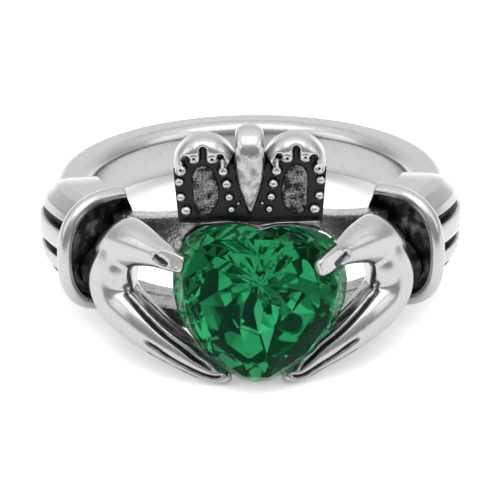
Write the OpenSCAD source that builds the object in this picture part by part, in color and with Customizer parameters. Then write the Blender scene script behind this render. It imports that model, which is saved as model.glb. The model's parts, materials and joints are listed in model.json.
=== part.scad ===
// Claddagh ring: two hands hold a crowned heart-cut stone
//
// The ring's own frame has the finger axis along Z with the crown at the top, and the head towards -Y.
// rest() lays it on its side, as it rests by itself on the fingertips and the back of the band.
// A table with a column called reach measures it forwards from the front wall of the finger hole.

/* [Finger] */
// Diameter of the finger hole, US size 9
finger_d = 18.9; // [18.7:0.05:19.1]

/* [Band] */
// Width of the band along the finger
band_w = 3.1; // [2.8:0.1:3.3]
// Thickness of the band
band_t = 2.4; // [2.2:0.1:2.6]
// Rounding of its outer edges
band_edge = 0.6; // [0.4:0.05:0.7]
// Rounding of its inner edges, for comfort
comfort_edge = 0.75; // [0.6:0.05:0.9]

/* [Shoulders] */
// How far the ribs stand proud of the band
rib_proud = 1.4; // [1.2:0.05:1.5]
// Where a shoulder ends, in degrees from the middle of the head
shoulder_end = 83; // [80:1:85]

/* [Cuffs] */
// Diameter of a cuff
cuff_d = 7.36; // [7.2:0.02:7.5]
// Thickness of its rolled rim
cuff_rim = 1.2; // [1.1:0.05:1.3]
// Where a cuff stands, in degrees from the middle of the head
cuff_angle = 52; // [51:0.5:53]

/* [Stone] */
// Width of the heart-cut stone
stone_w = 10; // [9.9:0.05:10.1]
// Height of the stone from its point to its lobes
stone_h = 9.7; // [9.6:0.05:9.8]
// Height of the cut ahead of the girdle
stone_crown = 1.4; // [1.2:0.05:1.6]
// Depth of the cut behind the girdle
stone_pavilion = 4; // [3.8:0.05:4.1]
// How far the stone sits right of the middle
stone_shift = 0.45; // [0.3:0.05:0.5]
// How far it is turned in its seat, in degrees, with its point to the left
stone_turn = 3; // [0:0.5:4]
// Width of the table as a share of the stone's width
table_share = 0.62; // [0.56:0.01:0.66]
// Room between the stone and the metal
stone_gap = 0.03; // [0.02:0.01:0.05]

/* [Crown] */
// Height of the crown above its rail
crown_h = 4.95; // [4.8:0.05:5.1]
// Radius of a domed lobe
lobe_r = 1.8; // [1.75:0.01:1.85]
// Diameter of a round bead
bead_d = 0.6; // [0.5:0.02:0.66]

/* [Hidden] */
facets = 96;
finger_r = finger_d / 2;
band_r = finger_r + band_t;
// metal that reaches into the finger hole before the hole is cut, on the gallery and on the band
overreach = 0.5;
band_skim = 0.05;

// Section of a shoulder at its fullest, over its ribs and grooves: height along the finger, radius
// beyond the finger hole as a share of the ribs'
SHOULDER = [[2.1, -0.14], [2.1, 0.5], [1.9, 0.68], [1.35, 0.87], [0.9, 0.92], [0.83, 0.81], [0.31, 0.82],
            [0.25, 0.96], [-0.1, 1], [-0.6, 1], [-0.93, 0.97], [-1.01, 0.83], [-1.45, 0.83], [-1.53, 0.95],
            [-1.85, 0.96], [-2.25, 0.93], [-2.5, 0.89], [-2.56, 0.78], [-2.87, 0.76], [-2.94, 0.83],
            [-3.2, 0.75], [-3.4, 0.6], [-3.4, -0.14]];
shoulder_z = -0.65;
shoulder_rings = 10;
// how far its first ring sits inside the band
shoulder_tuck = 0.15;
// degrees by which its end stands behind the middle of the cuff, inside the cuff's wall
cuff_depth = 1.5;

// cuffs: the middle of the rim, the wall inside it and the wrist
cuff_out = finger_r + 1.27;
cuff_z = -0.75;
cuff_web = 0.5;
wrist_d = 3.9;
wrist_l = 2.4;
wrist_out = finger_r + 2.3;

// Left hand, each limb from its root to its tip: distance from the middle, reach, height along the
// finger, half width, half depth
PALM = [[8.75, -0.35, -3.3, 0.35, 0.4], [8.6, -0.2, -2.7, 1.1, 1.15], [8.25, 0.05, -1.4, 1.45, 1.5],
        [7.85, 0.4, 0, 1.45, 1.5], [7.35, 0.85, 1.3, 1.2, 1.3], [7, 1.2, 2.3, 0.75, 0.9],
        [6.85, 1.35, 2.75, 0.25, 0.3]];
FINGERS = [[8.5, -0.2, -1.6, 1.45, 1.2], [7.95, 0.5, -2.15, 1.55, 1.4], [7.45, 1.1, -2.85, 1.4, 1.45],
           [6.5, 2.05, -3.55, 1.25, 1.4], [5.35, 2.75, -4.3, 1.15, 1.3], [4.15, 3.25, -5, 1, 1.15],
           [2.95, 3.65, -5.75, 0.78, 0.95], [2.05, 3.9, -6.2, 0.55, 0.7], [1.4, 4.05, -6.4, 0.42, 0.5],
           [1.2, 4.1, -6.45, 0.2, 0.25]];
THUMB = [[8.3, -0.1, 0.3, 1.4, 1.3], [7.5, 0.85, 0.95, 1.6, 1.35], [6.6, 1.95, 1.15, 1.3, 1.25],
         [5.5, 3.3, 1.15, 0.88, 0.9], [4.7, 4.3, 1.1, 0.7, 0.64], [4.05, 4.95, 1.03, 0.58, 0.48],
         [3.72, 5.2, 0.98, 0.4, 0.34]];

// Section of a sheaf of three fingers with a groove between each two: across, outwards
SHEAF = [[1, -0.1], [0.93, 0.4], [0.72, 0.78], [0.43, 0.93], [0.34, 0.72], [0.25, 0.96], [0, 1], [-0.27, 0.95],
         [-0.36, 0.7], [-0.45, 0.93], [-0.75, 0.8], [-0.94, 0.4], [-1, -0.1], [-0.9, -0.6], [-0.5, -0.93],
         [0, -1], [0.5, -0.93], [0.9, -0.6]];

// stone: its number of mains, its girdle, its lowest point and the height of its axis as a share
mains = 14;
girdle_t = 0.25;
culet_room = 0.3;
girdle_y = -(finger_r + stone_pavilion + culet_room);
stone_low = -6.6;
stone_mid = 0.58;
stone_z = stone_low + stone_mid * stone_h;
// Half of the stone's outline: distance from its axis over half its width, height over its whole height
HEART = [[0, 0.969], [0.25, 1], [0.54, 0.988], [0.77, 0.945], [0.92, 0.85], [1, 0.68], [0.975, 0.52],
         [0.86, 0.366], [0.6, 0.18], [0.25, 0.035], [0, 0]];
// where the facets' corners lie between the girdle and the table or the point, as shares of the width
kite_share = 0.8;
main_share = 0.3;

// gallery behind the stone, and the basket on it with its widths as shares of the stone's
gallery_t = 1.2;
gallery_low = -3.8;
gallery_top = 2.3;
gallery_end = 1.1;
gallery_angle = 50;
// sill under the windows, thicker than the wall
sill_t = 2.6;
sill_top = -2.9;
sill_low = -4.15;
sill_angle = 46;
basket_top = 0.97;
basket_foot = 0.72;
basket_back = 0.45;
back_hole = 0.55;
// Right window of the gallery: distance from the middle, height
WINDOW = [[7.2, -2.45], [7, 0.3], [6.2, 0.75], [3.4, 0.75], [2.9, 0.2], [2.9, -2.4], [3.4, -3], [5, -3]];

// crown: the block it stands on, its plate and what stands proud of the plate
rail_z = 3.15;
block_w = 8;
block_h = 1.45;
block_y = -(finger_r + 4.05);
block_t = 3.7;
plate_y = -(finger_r + 3.5);
plate_t = 1.1;
plate_foot = 4.12;
plate_waist = 3.2;
relief = 0.4;
lobe_x = 2.58;
lobe_z = rail_z + crown_h - lobe_r;
arch_r = 1.15;
// metal by which raised parts reach into the plate
root = 0.2;
oval_x = 2.6;
oval_z = 4.85;
oval_size = [0.62, 1.45];
// Beads right of the middle: distance from the middle, height, diameter as a share of bead_d
BEADS = [[3.23, 6.97, 1.25], [2.17, 6.95, 1.25], [3.82, 6.32, 1.15], [4.02, 5.47, 1], [3.95, 4.54, 1],
         [3.66, 3.73, 1.05], [1.52, 6.2, 1.1], [1.33, 5.3, 1.05], [1.2, 4.5, 0.9], [1.08, 3.75, 0.85]];
// Leaf, from its point to its top: height, half width, half depth
LEAF = [[3.5, 0.08, 0.1], [4.04, 0.23, 0.3], [5, 0.42, 0.45], [5.9, 0.62, 0.55], [7, 0.78, 0.62],
        [7.85, 0.82, 0.62], [8.3, 0.74, 0.52], [8.56, 0.48, 0.32]];

// how far the outermost point of an edge ring sits from the finger axis and below its middle
edge_out = band_r - band_edge;
edge_low = band_w / 2 - band_edge;

// A table passed through smoothly, with n steps from each row to the next
function row(v, i) = v[max(0, min(len(v) - 1, i))];
function between(v, i, f) =
    let (a = row(v, i - 1), b = row(v, i), c = row(v, i + 1), d = row(v, i + 2))
    b + 0.5 * f * (c - a + f * (2 * a - 5 * b + 4 * c - d + f * (3 * (b - c) + d - a)));
function smooth(v, n) =
    [for (i = [0:len(v) - 2]) for (k = [0:n - 1]) between(v, i, k / n), v[len(v) - 1]];

function unit(v) = v / norm(v);
function bulge(x) = sign(x) * pow(abs(x), 0.85);
function oval(sides) = [for (k = [0:sides - 1]) let (a = k * 360 / sides) [bulge(cos(a)), bulge(sin(a))]];
function middle(ring) = [for (k = [0:2]) [for (p = ring) p[k]] * [for (p = ring) 1] / len(ring)];

// A closed solid over rings that all have the same number of points
module skin(rings) {
    n = len(rings[0]);
    m = len(rings);
    points = concat([for (r = rings) for (p = r) p], [middle(rings[0]), middle(rings[m - 1])]);
    walls = [for (j = [0:m - 2]) for (i = [0:n - 1])
        let (a = j * n + i, b = j * n + (i + 1) % n)
        for (f = [[a, b, b + n], [a, b + n, a + n]]) f];
    first = [for (i = [0:n - 1]) [m * n, (i + 1) % n, i]];
    last = [for (i = [0:n - 1]) [m * n + 1, (m - 1) * n + i, (m - 1) * n + (i + 1) % n]];
    polyhedron(points, concat(walls, first, last));
}

module band() {
    in = finger_r - band_skim;
    flat = band_r - band_edge - in - comfort_edge;
    color("silver") rotate_extrude($fn = facets) {
        translate([in, -band_w / 2 + comfort_edge]) square([band_t - band_edge, band_w - 2 * comfort_edge]);
        translate([in + comfort_edge, -band_w / 2]) square([flat, band_w]);
        translate([in + comfort_edge, -band_w / 2 + band_edge]) square([flat + band_edge, band_w - 2 * band_edge]);
        for (s = [-1, 1]) {
            translate([in + comfort_edge, s * (band_w / 2 - comfort_edge)]) circle(comfort_edge, $fn = 32);
            translate([band_r - band_edge, s * (band_w / 2 - band_edge)]) circle(band_edge, $fn = 32);
        }
    }
}

// A ribbed sleeve that swells out of the band towards the cuff
module shoulder() {
    full = band_t + rib_proud;
    start_t = band_t - shoulder_tuck;
    start_w = band_w - shoulder_tuck;
    top = SHOULDER[0][0];
    low = SHOULDER[len(SHOULDER) - 1][0];
    function swell(s) = sqrt(1 - pow(1 - min(1, s * 2), 2));
    function ring(s) =
        let (angle = shoulder_end + (cuff_angle + cuff_depth - shoulder_end) * s,
             half = start_w / 2 + (top - low - start_w) / 2 * swell(s),
             mid = shoulder_z * swell(s), r = start_t + (full - start_t) * swell(s))
        [for (q = SHOULDER)
            let (out = finger_r + q[1] * r)
            [-out * sin(angle), -out * cos(angle), mid + (q[0] - shoulder_z) * 2 * half / (top - low)]];
    color("silver") skin([for (i = [shoulder_rings:-1:0]) ring(pow(i / shoulder_rings, 1.5))]);
}

// A round flange square to the finger's edge, with a rolled rim and a hollow round the wrist
module cuff() {
    rim_r = (cuff_d - cuff_rim) / 2;
    rotate([0, 0, 270 - cuff_angle]) translate([0, 0, cuff_z]) rotate([-90, 0, 0]) {
        color("silver") translate([cuff_out, 0, 0]) rotate_extrude($fn = facets) {
            translate([rim_r, 0]) circle(cuff_rim / 2, $fn = 32);
            translate([0, -cuff_web]) square([rim_r, cuff_web]);
        }
        color("dimgray") translate([wrist_out, 0, -cuff_web / 2]) cylinder(d = wrist_d, h = wrist_l, $fn = facets);
    }
}

// Rings of one limb of the left hand, each a section square to its path
function limb(table, steps, section) =
    let (path = smooth(table, steps), last = len(path) - 1,
         at = [for (q = path) [-q[0], -(finger_r + q[1]), q[2]]])
    [for (i = [0:last])
        let (along = unit(at[min(last, i + 1)] - at[max(0, i - 1)]),
             across = unit(cross(along, [at[i].x, at[i].y, 0])), out = cross(across, along))
        [for (q = section) at[i] + across * path[i][3] * q[0] + out * path[i][4] * q[1]]];

module hand() {
    color("silver") {
        skin(limb(PALM, 2, oval(16)));
        skin(limb(FINGERS, 2, SHEAF));
        skin(limb(THUMB, 3, oval(16)));
    }
}

module side() {
    shoulder();
    cuff();
    hand();
}

// The stone's outline seen from the front, as a share of its size, and larger by grow
function outline(share, grow = 0) =
    let (half = smooth(HEART, mains), last = len(half) - 1,
         pick = [for (i = [0:mains]) half[round(i * last / mains)]],
         whole = concat(pick, [for (i = [mains - 1:-1:1]) [-pick[i][0], pick[i][1]]]))
    [for (q = whole) [q[0] * stone_w / 2, (q[1] - stone_mid) * stone_h] * (share + 2 * grow / stone_w)];
function level(share, y, grow = 0) = [for (q = outline(share, grow)) [q[0], y, q[1]]];

module on_stone(y = girdle_y) {
    translate([stone_shift, y, stone_z]) rotate([0, stone_turn, 0]) children();
}

// How far behind or ahead of the girdle's middle the corners between two facets lie
function main_depth() = girdle_t / 2 + stone_pavilion * (1 - main_share * cos(180 / mains));
function kite_depth() = girdle_t / 2 + stone_crown * (1 - kite_share * cos(180 / mains)) / (1 - table_share);

// The room that the stone takes in the metal
module stone_seat() {
    on_stone() skin([level(0.02, girdle_t / 2 + stone_pavilion, stone_gap),
        level(main_share, main_depth() + stone_gap, stone_gap), level(1, girdle_t / 2, stone_gap),
        level(1, -girdle_t / 2, stone_gap), level(kite_share, -kite_depth() - stone_gap, stone_gap),
        level(table_share, -girdle_t / 2 - stone_crown - stone_gap, stone_gap)]);
}

// A heart cut: a flat table, kites and half facets down to the girdle, and long mains behind it
module heart_stone() {
    n = 2 * mains;
    odd = [for (k = [0:mains - 1]) 2 * k + 1];
    even = [for (k = [0:mains - 1]) 2 * k];
    function some(ring, which) = [for (k = which) ring[k]];
    table = some(level(table_share, -girdle_t / 2 - stone_crown), even);
    kites = some(level(kite_share, -kite_depth()), odd);
    front = level(1, -girdle_t / 2);
    back = level(1, girdle_t / 2);
    lows = some(level(main_share, main_depth()), odd);
    points = concat(table, kites, front, back, lows, [[0, stone_pavilion, 0]]);
    k0 = mains;
    f0 = 2 * mains;
    b0 = f0 + n;
    l0 = b0 + n;
    culet = l0 + mains;
    faces = [for (i = [0:mains - 1])
        let (j = (i + 1) % mains, e = 2 * i, o = e + 1, w = 2 * j)
        for (f = [[i, k0 + i, j], [j, k0 + i, f0 + w], [f0 + w, k0 + j, j],
                  [k0 + i, f0 + e, f0 + o], [k0 + i, f0 + o, f0 + w],
                  [f0 + e, b0 + e, b0 + o], [f0 + e, b0 + o, f0 + o], [f0 + o, b0 + o, b0 + w],
                  [f0 + o, b0 + w, f0 + w], [l0 + i, b0 + o, b0 + e], [l0 + i, b0 + w, b0 + o],
                  [l0 + i, culet, b0 + w], [l0 + j, b0 + w, culet]]) f];
    color("seagreen") on_stone() polyhedron(points, concat([[for (i = [0:mains - 1]) i]], faces));
}

module heart_slab(share, y, t) {
    on_stone(y) rotate([90, 0, 0]) linear_extrude(t, center = true) polygon(outline(share));
}

// The curved wall behind the stone, seen from the front as a frame with two windows
module gallery() {
    wide = finger_r;
    half = block_w / 2;
    color("gray") difference() {
        intersection() {
            rotate([0, 0, 270 - gallery_angle]) rotate_extrude(angle = 2 * gallery_angle, $fn = facets)
                translate([finger_r - overreach, gallery_low])
                    square([gallery_t + overreach, gallery_top - gallery_low + 1]);
            rotate([90, 0, 0]) linear_extrude(2 * wide)
                polygon([[-wide, gallery_low], [-wide, gallery_end], [-half, gallery_top],
                    [half, gallery_top], [wide, gallery_end], [wide, gallery_low]]);
        }
        for (s = [-1, 1])
            rotate([90, 0, 0]) linear_extrude(2 * wide) polygon([for (q = WINDOW) [s * q[0], q[1]]]);
    }
}

module sill() {
    color("gray") rotate([0, 0, 270 - sill_angle]) rotate_extrude(angle = 2 * sill_angle, $fn = facets)
        translate([finger_r - overreach, sill_low]) square([sill_t + overreach, sill_top - sill_low]);
}

// The tapered wall that carries the stone
module basket() {
    color("gray") hull() {
        heart_slab(basket_top, girdle_y + basket_back, 0.1);
        heart_slab(basket_foot, -finger_r - gallery_t / 2, 0.1);
    }
}

module crown_plate() {
    low = rail_z - root;
    side = lobe_x + lobe_r;
    rotate([90, 0, 0]) translate([0, 0, -plate_y - plate_t]) linear_extrude(plate_t) {
        polygon([[-plate_foot, low], [-side, low + plate_waist], [-side, lobe_z],
            [side, lobe_z], [side, low + plate_waist], [plate_foot, low]]);
        for (s = [-1, 1]) translate([s * lobe_x, lobe_z]) circle(lobe_r, $fn = facets);
    }
}

// A polished arch over each lobe
module crown_arch() {
    translate([lobe_x, plate_y + root, lobe_z]) rotate([90, 0, 0]) linear_extrude(relief + root)
        difference() {
            circle(lobe_r - 0.01, $fn = facets);
            circle(arch_r, $fn = facets);
            translate([-lobe_r, -2 * lobe_r]) square(2 * lobe_r);
        }
}

module crown_oval() {
    translate([oval_x, plate_y + root, oval_z]) rotate([90, 0, 0]) linear_extrude(2 * root)
        polygon([for (a = [0:15:345]) [oval_size.x * cos(a), oval_size.y * sin(a)]]);
}

module crown_leaf() {
    skin([for (q = smooth(LEAF, 2)) [for (a = [0:22.5:337.5])
        [q[1] * cos(a), plate_y - root / 2 - q[2] * sin(a), q[0]]]]);
}

module crown() {
    color("dimgray") crown_plate();
    color("silver") {
        crown_leaf();
        for (s = [0, 1]) mirror([s, 0, 0]) {
            crown_arch();
            crown_oval();
            for (b = BEADS) translate([b[0], plate_y - root / 4, b[1]]) sphere(d = bead_d * b[2], $fn = 20);
        }
        translate([-block_w / 2, block_y, rail_z - block_h]) cube([block_w, block_t, block_h]);
    }
}

module ring_casting() {
    difference() {
        union() {
            band();
            side();
            mirror([1, 0, 0]) side();
            gallery();
            sill();
            basket();
            crown();
        }
        cylinder(r = finger_r, h = 2 * finger_d, center = true, $fn = facets);
        stone_seat();
        heart_slab(back_hole, -finger_r, 2 * stone_pavilion);
    }
}

// The ring lies on its fingertips and the back edge of its band. It leans over by the angle that
// brings both to one height, found in a few steps from a first guess.
function height(q, t) = q.z * cos(t) - q.y * sin(t);
function forward(q, t) = q.y * cos(t) + q.z * sin(t);
function edge_height(t) = -edge_out * sin(t) - edge_low * cos(t) - band_edge;
function tip_height(t) = min([for (r = limb(FINGERS, 2, SHEAF)) for (q = r) height(q, t)]);
function lean(t, steps) =
    steps == 0 ? t : lean(t + (edge_height(t) - tip_height(t)) / (2 * edge_out) * 180 / PI, steps - 1);

module rest() {
    t = lean(12, 12);
    front = min([for (q = level(table_share, girdle_y - girdle_t / 2 - stone_crown))
        forward([0, q.y, q.z * cos(stone_turn) - q.x * sin(stone_turn) + stone_z], t)]);
    back = edge_out * cos(t) + edge_low * sin(t) + band_edge;
    translate([0, -(front + back) / 2, -edge_height(t)]) rotate([-t, 0, 0]) children();
}

rest() ring_casting();
rest() heart_stone();
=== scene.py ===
"""The looks of the claddagh ring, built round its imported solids.

Sizes are in millimetres in the ring's own frame: the finger axis along Z with the crown at the top, and the
head towards -Y. Pose carries them to the frame in which the ring lies on its side, in metres.
"""

import json
import logging
import math
from dataclasses import dataclass, field, replace
from enum import Enum

import bpy
import numpy as np
from mathutils import Matrix, Vector


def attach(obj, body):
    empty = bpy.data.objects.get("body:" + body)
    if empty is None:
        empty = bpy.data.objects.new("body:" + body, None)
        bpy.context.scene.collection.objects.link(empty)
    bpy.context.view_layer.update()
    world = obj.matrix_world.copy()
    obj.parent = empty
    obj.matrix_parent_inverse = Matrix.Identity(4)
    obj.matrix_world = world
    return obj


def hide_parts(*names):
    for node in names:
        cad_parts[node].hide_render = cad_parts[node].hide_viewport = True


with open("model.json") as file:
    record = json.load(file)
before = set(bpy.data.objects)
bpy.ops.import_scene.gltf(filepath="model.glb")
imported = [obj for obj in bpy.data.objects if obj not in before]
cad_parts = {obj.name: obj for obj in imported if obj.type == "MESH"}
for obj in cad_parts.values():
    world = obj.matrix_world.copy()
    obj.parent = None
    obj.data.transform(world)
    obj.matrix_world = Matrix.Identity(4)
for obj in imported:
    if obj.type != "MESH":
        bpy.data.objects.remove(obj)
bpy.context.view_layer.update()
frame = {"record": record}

Array = np.ndarray
Socket = bpy.types.NodeSocket
Colour = tuple[float, float, float]
Point = tuple[float, float, float]
Pair = tuple[float, float]
LOG = logging.getLogger("ring")
# radius of the finger hole
FINGER_R = 9.45
# millimetres in a metre
METRE = 1000
NO_TRIS = np.zeros((0, 3), int)


class Side(Enum):
    """Which side of the ring a piece is on, by the sign of its X."""

    LEFT = -1
    RIGHT = 1


# Shapes as whole arrays


@dataclass
class Patch:
    """A closed mesh.

    It has vertices (n, 3), four-sided faces and three-sided faces, and says how black (oxide_and_shade: the
    oxide, and painted shade in grooves and pits) and how rough (cast) each vertex is.
    """

    verts: Array
    quads: Array
    tris: Array
    oxide_and_shade: Array
    cast: Array

    def volume(self) -> float:
        """Signed volume: a sixth of the sum of each triangle's triple product.

        Returns:
            The volume, which is below 0 where the faces point inwards.
        """
        tri = np.concatenate([self.quads[:, [0, 1, 2]], self.quads[:, [0, 2, 3]], self.tris])
        a, b, c = (self.verts[tri[:, k]] for k in range(3))
        return float(np.einsum("ij,ij->i", a, np.cross(b, c)).sum() / 6)

    def turned(self) -> "Patch":
        """The same patch with the corners of each face in the opposite order."""
        return replace(self, quads=self.quads[:, ::-1], tris=self.tris[:, ::-1])

    def outward(self) -> "Patch":
        """The same patch with its faces pointing outwards."""
        return self if self.volume() >= 0 else self.turned()

    def on(self, side: Side) -> "Patch":
        """This left-hand patch, or for the right its mirror image in the plane X = 0."""
        return self if side is Side.LEFT else replace(self.turned(), verts=self.verts * [-1, 1, 1])


def patch(verts: Array, quads: Array, tris: Array = NO_TRIS, oxide_and_shade: Array | float = 0.0,
          cast: Array | float = 0.0) -> Patch:
    """A patch from its arrays, with its faces turned outwards.

    Args:
        verts: vertices (n, 3).
        quads: four-sided faces.
        tris: three-sided faces.
        oxide_and_shade: how black each vertex is, by oxide and by painted shade, or one value for all.
        cast: how rough each vertex is, or one value for all.

    Returns:
        The patch.
    """
    masks = [np.broadcast_to(np.ravel(mask).astype(float), (len(verts),)) for mask in (oxide_and_shade, cast)]
    return Patch(np.asarray(verts, float), quads.astype(int), tris.astype(int), *masks).outward()


def joined(parts: list[Patch]) -> Patch:
    """Several patches as one mesh, each shell still closed by itself.

    Args:
        parts: the patches.

    Returns:
        One patch, in which each part's faces are numbered on from the vertices before it.
    """
    starts = np.cumsum([0] + [len(part.verts) for part in parts])
    return Patch(
        np.concatenate([part.verts for part in parts]),
        np.concatenate([part.quads + start for part, start in zip(parts, starts)]),
        np.concatenate([part.tris + start for part, start in zip(parts, starts)]),
        np.concatenate([part.oxide_and_shade for part in parts]),
        np.concatenate([part.cast for part in parts]),
    )


def spline(rows: Array, count: int) -> Array:
    """A smooth curve through every row.

    Between rows b and c, with a before and d after, the point at share f is
    b + f/2 (c - a + f (2a - 5b + 4c - d + f (3 (b - c) + d - a))).

    Args:
        rows: the table, one point a row.
        count: how many points to return.

    Returns:
        The curve's points.
    """
    rows = np.asarray(rows, float)
    t = np.linspace(0, len(rows) - 1, count)
    i = np.minimum(t.astype(int), len(rows) - 2)
    f = (t - i)[:, None]
    p = np.concatenate([rows[:1], rows, rows[-1:]])
    a, b, c, d = p[i], p[i + 1], p[i + 2], p[i + 3]
    return b + 0.5 * f * (c - a + f * (2 * a - 5 * b + 4 * c - d + f * (3 * (b - c) + d - a)))


def softened(points: Array, count: int, radius: float) -> Array:
    """A closed outline with its corners rounded.

    The outline is sampled at equal steps along its length, and each point is averaged with its neighbours by
    a Gaussian weight, done on its Fourier series.

    Args:
        points: the outline's corners (n, 2).
        count: how many points to return.
        radius: the Gaussian's spread along the outline.

    Returns:
        The outline's points (count, 2).
    """
    closed = np.vstack([points, points[:1]])
    along = np.r_[0, np.cumsum(np.linalg.norm(np.diff(closed, axis=0), axis=1))]
    at = np.linspace(0, along[-1], count, endpoint=False)
    even = np.stack([np.interp(at, along, closed[:, k]) for k in range(2)], 1)
    weight = np.exp(-2 * (np.pi * np.fft.fftfreq(count, along[-1] / count) * radius) ** 2)
    return np.fft.ifft(np.fft.fft(even, axis=0) * weight[:, None], axis=0).real


def grid_quads(m: int, n: int, round_m: bool = False, round_n: bool = True) -> Array:
    """Four-sided faces over a grid: a point, the next in its row, and the same two of the next row.

    Args:
        m: number of rows.
        n: number of points in a row.
        round_m: whether the first row follows the last.
        round_n: whether each row is closed.

    Returns:
        The faces (k, 4).
    """
    i = np.arange(m if round_m else m - 1)[:, None]
    j = np.arange(n if round_n else n - 1)[None]
    k, h = (i + 1) % m * n, (j + 1) % n
    i = i * n
    return np.stack([i + j, i + h, k + h, k + j], -1).reshape(-1, 4)


def skin(rings: Array, oxide_and_shade: Array | float = 0.0) -> Patch:
    """A closed solid over rings: walls between rings, and a fan to the ring's middle at each end.

    Args:
        rings: the rings' points (m, n, 3).
        oxide_and_shade: how black each point is, by oxide and by painted shade, or one value for all.

    Returns:
        The solid.
    """
    m, n = rings.shape[:2]
    near = np.arange(n)
    far = (near + 1) % n
    last, middle = (m - 1) * n, np.full(n, m * n)
    fans = np.concatenate([np.stack([middle, far, near], 1),
                           np.stack([middle + 1, last + near, last + far], 1)])
    verts = np.concatenate([rings.reshape(-1, 3), rings[[0, -1]].mean(1)])
    if np.ndim(oxide_and_shade):
        oxide_and_shade = np.r_[oxide_and_shade.ravel(), oxide_and_shade[0].mean(), oxide_and_shade[-1].mean()]
    return patch(verts, grid_quads(m, n), fans, oxide_and_shade)


def revolved(profile: Array, steps: int, oxide_and_shade: Array) -> Patch:
    """A closed outline turned right round the Z axis: the point (r cos a, r sin a, height).

    Args:
        profile: the outline's points (n, 2) by radius r and height.
        steps: how many angles a there are in a turn.
        oxide_and_shade: how black each point of the outline is, by oxide and by painted shade.

    Returns:
        The solid.
    """
    a = np.linspace(0, 2 * np.pi, steps, endpoint=False)[:, None]
    r, z = profile[None, :, 0], profile[None, :, 1]
    verts = np.stack([r * np.cos(a), r * np.sin(a), z + 0 * a], -1).reshape(-1, 3)
    return patch(verts, grid_quads(steps, len(profile), round_m=True), oxide_and_shade=np.tile(oxide_and_shade, steps))


def around(r: Array, angle: Array, z: Array) -> Array:
    """Points round the finger, at angles from straight ahead to the right: (r sin a, -r cos a, z)."""
    return np.stack(np.broadcast_arrays(r * np.sin(angle), -r * np.cos(angle), z), -1)


def reached(rows: Array) -> Array:
    """Points given by distance left of the middle, reach ahead of the finger hole and height."""
    return np.stack([-rows[:, 0], -(FINGER_R + rows[:, 1]), rows[:, 2]], 1)


def round_section(count: int, power: float) -> Array:
    """A rounded section of unit half width: cosine and sine of the angle, each to a power with its sign kept.

    Args:
        count: how many points to return.
        power: 1 for a circle, less for a squarer section.

    Returns:
        The section's points (count, 2).
    """
    a = np.linspace(0, 2 * np.pi, count, endpoint=False)
    both = np.stack([np.cos(a), np.sin(a)], 1)
    return np.sign(both) * np.abs(both) ** power


def extruded(outline: Array, low: float, high: float) -> Patch:
    """A closed outline seen from the front (x, z), carried from y = low to y = high."""
    return skin(np.stack([np.insert(outline, 1, y, axis=1) for y in (low, high)]))


def fade(x: Array, low: float, high: float) -> Array:
    """0 below low, 1 above high and a smooth step between: 3 t squared less 2 t cubed."""
    t = np.clip((x - low) / (high - low), 0, 1)
    return t * t * (3 - 2 * t)


def dome(inside: Array, rounding: float, height: float) -> Array:
    """A form that rises steeply at its edge and is flat on top.

    It is the height times the root of 1 less the square of 1 less the distance over the rounding.

    Args:
        inside: distances inside the form's edge.
        rounding: the distance over which it rises.
        height: how high it stands.

    Returns:
        The height at each point, 0 outside the edge.
    """
    return height * np.sqrt(np.clip(1 - (1 - np.clip(inside / rounding, 0, 1)) ** 2, 0, 1))


def slotted(s: Array, z: Array, place: Array) -> Array:
    """Distance inside the edge of an upright slot with round ends.

    It is the half width less the distance to the slot's own middle line, which is a point for a disc.

    Args:
        s: distances from the middle.
        z: heights.
        place: the slot's own distance and height, its half width and half the length of its straight part.

    Returns:
        The distance at each point, below 0 outside.
    """
    at, up, half, straight = place
    return half - np.hypot(s - at, np.maximum(0, np.abs(z - up) - straight))


def nearest(points: Array, line: Array, blocks: int = 64) -> tuple[Array, Array]:
    """The nearest sample of a line to each point, by the least sum of squares.

    Args:
        points: the points (n, 3).
        line: the line's samples (m, 3).
        blocks: into how many blocks the points are split, to save memory.

    Returns:
        Each point's distance to its sample, and that sample's share of the line's length.
    """
    far = [((block[:, None] - line[None]) ** 2).sum(-1) for block in np.array_split(points, blocks)]
    share = np.concatenate([f.argmin(1) for f in far]) / (len(line) - 1)
    return np.sqrt(np.concatenate([f.min(1) for f in far])), share


# Meshes in Blender


def placed(name: str, data: bpy.types.ID) -> bpy.types.Object:
    """A new object in the scene round a mesh, a lamp or a camera."""
    made = bpy.data.objects.new(name, data)
    bpy.context.scene.collection.objects.link(made)
    return made


def mesh_of(name: str, shape: Patch) -> bpy.types.Mesh:
    """A Blender mesh with a patch's vertices and faces.

    Args:
        name: the mesh's name.
        shape: the patch.

    Returns:
        The mesh.
    """
    mesh = bpy.data.meshes.new(name)
    mesh.from_pydata(shape.verts.tolist(), [], shape.quads.tolist() + shape.tris.tolist())
    mesh.update()
    return mesh


def listed(source: bpy.types.bpy_prop_collection, key: str, kind: type, width: int = 1) -> Array:
    """One value of every element of a mesh.

    Args:
        source: the mesh's vertices, loops or faces.
        key: the value's name.
        kind: whether it is a float or an int.
        width: how many numbers it has.

    Returns:
        The numbers, one row for each element.
    """
    values = np.zeros(len(source) * width, kind)
    source.foreach_get(key, values)
    return values.reshape(-1, width)


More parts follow.
